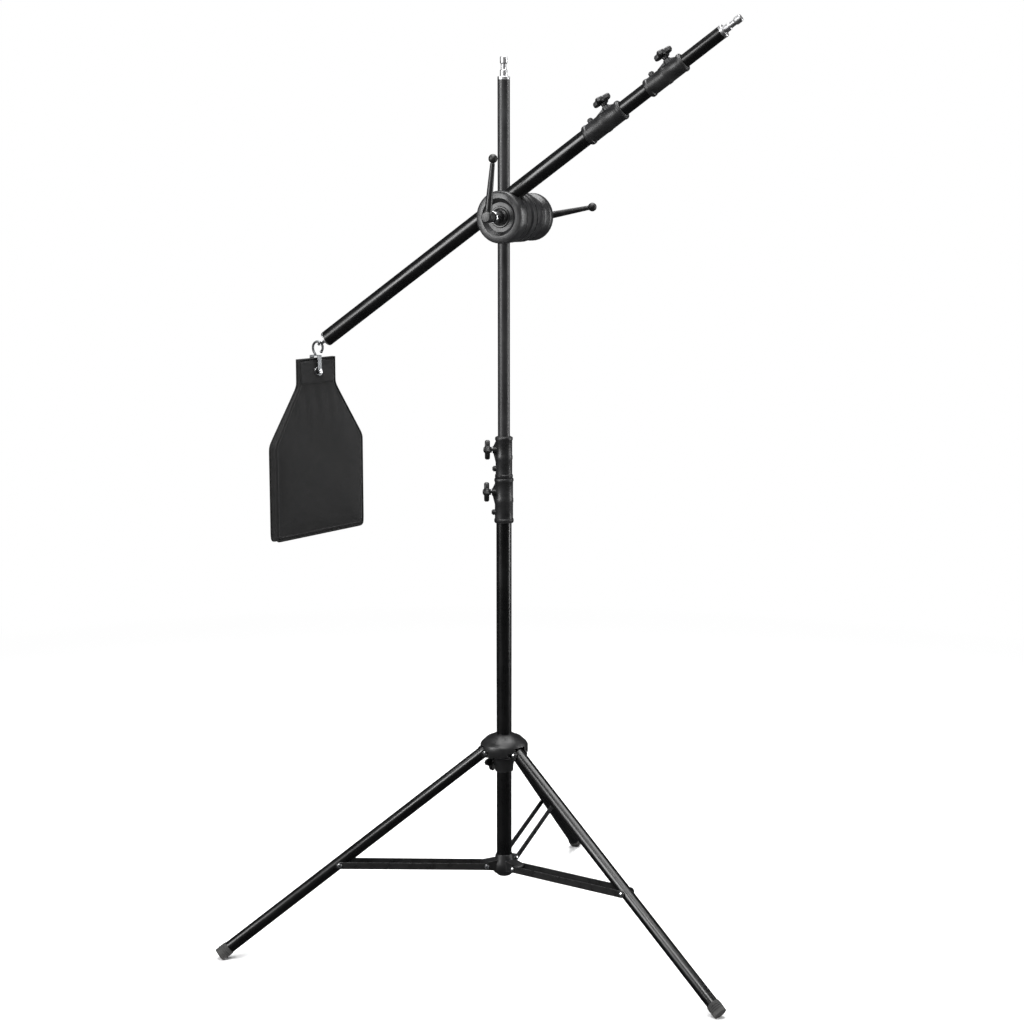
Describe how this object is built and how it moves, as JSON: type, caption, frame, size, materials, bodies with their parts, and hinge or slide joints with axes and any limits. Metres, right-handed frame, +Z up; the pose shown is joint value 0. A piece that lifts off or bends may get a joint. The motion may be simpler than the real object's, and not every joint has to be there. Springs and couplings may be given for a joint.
{
  "type": "boom light stand",
  "caption": "Tall folding three-leg light stand with a telescoping column and a clamp-on telescoping boom arm, counterweighted by a hanging sandbag.",
  "frame": {"origin": "on the floor under the middle of the bounding box; the column axis stands at x=0.0805 m, y=-0.0733 m", "axes": "+Z up along the column; +Y away from the side the picture was taken from, +X to that view's right, towards the boom's raised end"},
  "size_m": [1.0984, 1.096, 1.9943],
  "materials": {
    "tube_black": "gloss",
    "casting_black": "satin",
    "moulding_black": "satin",
    "knob_black": "satin",
    "rubber": "matte",
    "steel_bright": "satin",
    "aluminium_bright": "satin",
    "strap_black": "satin",
    "liner_black": "satin",
    "bag_fabric": "matte"
  },
  "bodies": {
    "base": {"lower_tube": "tube_black", "base_plug": "moulding_black", "spreader_hub": "casting_black", "hub_pin_left": "steel_bright", "hub_pin_back": "steel_bright", "hub_pin_right": "steel_bright", "lower_collar": "moulding_black"},
    "crown": {"crown": "casting_black", "leg_pin_left": "steel_bright", "leg_pin_back": "steel_bright", "leg_pin_right": "steel_bright"},
    "crown_knob": {"crown_knob": "knob_black"},
    "leg_left": {"leg_left": "tube_black", "foot_left": "rubber"},
    "leg_back": {"leg_back": "tube_black", "foot_back": "rubber"},
    "leg_right": {"leg_right": "tube_black", "foot_right": "rubber"},
    "brace_left": {"brace_left_a": "strap_black", "brace_left_b": "strap_black", "brace_rivet_left_a": "steel_bright", "brace_rivet_left_b": "steel_bright"},
    "brace_back": {"brace_back_a": "strap_black", "brace_back_b": "strap_black", "brace_rivet_back_a": "steel_bright", "brace_rivet_back_b": "steel_bright"},
    "brace_right": {"brace_right_a": "strap_black", "brace_right_b": "strap_black", "brace_rivet_right_a": "steel_bright", "brace_rivet_right_b": "steel_bright"},
    "lower_collar_knob": {"lower_collar_knob": "knob_black"},
    "middle": {"middle_tube": "tube_black", "upper_collar": "moulding_black"},
    "upper_collar_knob": {"upper_collar_knob": "knob_black"},
    "upper": {"upper_tube": "tube_black", "column_spigot": "aluminium_bright"},
    "liner": {"column_liner": "liner_black"},
    "clamp": {"column_shell_front": "casting_black", "column_shell_rear": "casting_black", "friction_disc": "liner_black", "pivot_bolt": "steel_bright"},
    "holder": {"boom_shell_front": "casting_black", "boom_shell_rear": "casting_black"},
    "lever_front": {"lever_front": "casting_black", "lever_ball_front": "knob_black"},
    "lever_back": {"lever_back": "casting_black", "lever_ball_back": "knob_black"},
    "boom": {"boom_outer_tube": "tube_black", "boom_collar_1": "moulding_black", "boom_end_cap": "aluminium_bright", "boom_eye": "steel_bright"},
    "boom_knob_1": {"boom_knob_1": "knob_black"},
    "boom_mid": {"boom_middle_tube": "tube_black", "boom_collar_2": "moulding_black"},
    "boom_knob_2": {"boom_knob_2": "knob_black"},
    "boom_inner": {"boom_inner_tube": "tube_black", "boom_spigot": "aluminium_bright"},
    "hook": {"bag_hook": "steel_bright", "bag_bolt": "steel_bright"},
    "bag": {"counterweight_bag": "bag_fabric"}
  },
  "joints": [
    {"name": "crown_slide", "type": "slide", "parent": "base", "child": "crown", "axis": [0, 0, 1], "range_m": [0, 0.4707]},
    {"name": "crown_knob_turn", "type": "hinge", "parent": "crown", "child": "crown_knob", "pos_m": [0.05985, -0.05152, 0.395], "axis": [-0.6884, 0.7254, 0], "range_deg": [-90, 90]},
    {"name": "leg_left_fold", "type": "hinge", "parent": "crown", "child": "leg_left", "pos_m": [0.0348, -0.08425, 0.429], "axis": [0.2334, -0.9724, 0], "range_deg": [0, 51.73]},
    {"name": "leg_back_fold", "type": "hinge", "parent": "crown", "child": "leg_back", "pos_m": [0.09385, -0.02821, 0.429], "axis": [-0.9588, 0.284, 0], "range_deg": [0, 51.73]},
    {"name": "leg_right_fold", "type": "hinge", "parent": "crown", "child": "leg_right", "pos_m": [0.11285, -0.10737, 0.429], "axis": [0.7254, 0.6884, 0], "range_deg": [0, 51.73]},
    {"name": "brace_left_fold", "type": "hinge", "parent": "base", "child": "brace_left", "pos_m": [0.03771, -0.08355, 0.167], "axis": [-0.2334, 0.9724, 0], "range_deg": [0, 80.79]},
    {"name": "brace_back_fold", "type": "hinge", "parent": "base", "child": "brace_back", "pos_m": [0.09299, -0.03109, 0.167], "axis": [0.9588, -0.284, 0], "range_deg": [0, 80.79]},
    {"name": "brace_right_fold", "type": "hinge", "parent": "base", "child": "brace_right", "pos_m": [0.11078, -0.10519, 0.167], "axis": [-0.7254, -0.6884, 0], "range_deg": [0, 80.79]},
    {"name": "lower_knob_turn", "type": "hinge", "parent": "base", "child": "lower_collar_knob", "pos_m": [0.05057, -0.07537, 1.00993], "axis": [-0.9976, -0.0698, 0], "range_deg": [-90, 90]},
    {"name": "middle_slide", "type": "slide", "parent": "base", "child": "middle", "axis": [0, 0, 1], "range_m": [0, 0.55]},
    {"name": "upper_knob_turn", "type": "hinge", "parent": "middle", "child": "upper_collar_knob", "pos_m": [0.05057, -0.07537, 1.1024], "axis": [-0.9976, -0.0698, 0], "range_deg": [-90, 90]},
    {"name": "upper_slide", "type": "slide", "parent": "middle", "child": "upper", "axis": [0, 0, 1], "range_m": [-0.2, 0.08]},
    {"name": "head_slide", "type": "slide", "parent": "upper", "child": "liner", "axis": [0, 0, 1], "range_m": [-0.2, 0.2]},
    {"name": "head_swivel", "type": "hinge", "parent": "liner", "child": "clamp", "pos_m": [0.0805, -0.07328, 1.602], "axis": [0, 0, 1], "continuous": true},
    {"name": "boom_tilt", "type": "hinge", "parent": "clamp", "child": "holder", "pos_m": [0.10601, -0.08685, 1.602], "axis": [-0.4695, -0.8829, 0], "range_deg": [-24, 4]},
    {"name": "lever_front_turn", "type": "hinge", "parent": "clamp", "child": "lever_front", "pos_m": [0.0478, -0.19633, 1.602], "axis": [-0.4695, -0.8829, 0], "range_deg": [-90, 90]},
    {"name": "lever_back_turn", "type": "hinge", "parent": "clamp", "child": "lever_back", "pos_m": [0.16658, 0.02705, 1.602], "axis": [-0.4695, -0.8829, 0], "range_deg": [-90, 90]},
    {"name": "boom_slide", "type": "slide", "parent": "holder", "child": "boom", "axis": [0.7324, -0.3894, 0.5585], "range_m": [-0.18, 0.06]},
    {"name": "boom_knob_1_turn", "type": "hinge", "parent": "boom", "child": "boom_knob_1", "pos_m": [0.28578, -0.23679, 1.82726], "axis": [-0.4931, 0.2622, 0.8295], "range_deg": [-90, 90]},
    {"name": "boom_middle_slide", "type": "slide", "parent": "boom", "child": "boom_mid", "axis": [0.7324, -0.3894, 0.5585], "range_m": [-0.055, 0.35]},
    {"name": "boom_knob_2_turn", "type": "hinge", "parent": "boom_mid", "child": "boom_knob_2", "pos_m": [0.40342, -0.29934, 1.91696], "axis": [-0.4931, 0.2622, 0.8295], "range_deg": [-90, 90]},
    {"name": "boom_inner_slide", "type": "slide", "parent": "boom_mid", "child": "boom_inner", "axis": [0.7324, -0.3894, 0.5585], "range_m": [-0.085, 0.3]},
    {"name": "hook_swing", "type": "hinge", "parent": "boom", "child": "hook", "pos_m": [-0.33361, 0.09254, 1.31882], "axis": [-0.4695, -0.8829, 0], "range_deg": [-8, 24]},
    {"name": "bag_swing", "type": "hinge", "parent": "hook", "child": "bag", "pos_m": [-0.34243, 0.09724, 1.25882], "axis": [-0.8192, 0.5736, 0], "range_deg": [-12, 12]}
  ],
  "couplings": [
    {"joint": "leg_left_fold", "follows": "crown_slide", "rad_per_m": 1.9164},
    {"joint": "leg_back_fold", "follows": "crown_slide", "rad_per_m": 1.9164},
    {"joint": "leg_right_fold", "follows": "crown_slide", "rad_per_m": 1.9164},
    {"joint": "brace_left_fold", "follows": "crown_slide", "rad_per_m": 2.9938},
    {"joint": "brace_back_fold", "follows": "crown_slide", "rad_per_m": 2.9938},
    {"joint": "brace_right_fold", "follows": "crown_slide", "rad_per_m": 2.9938}
  ]
}
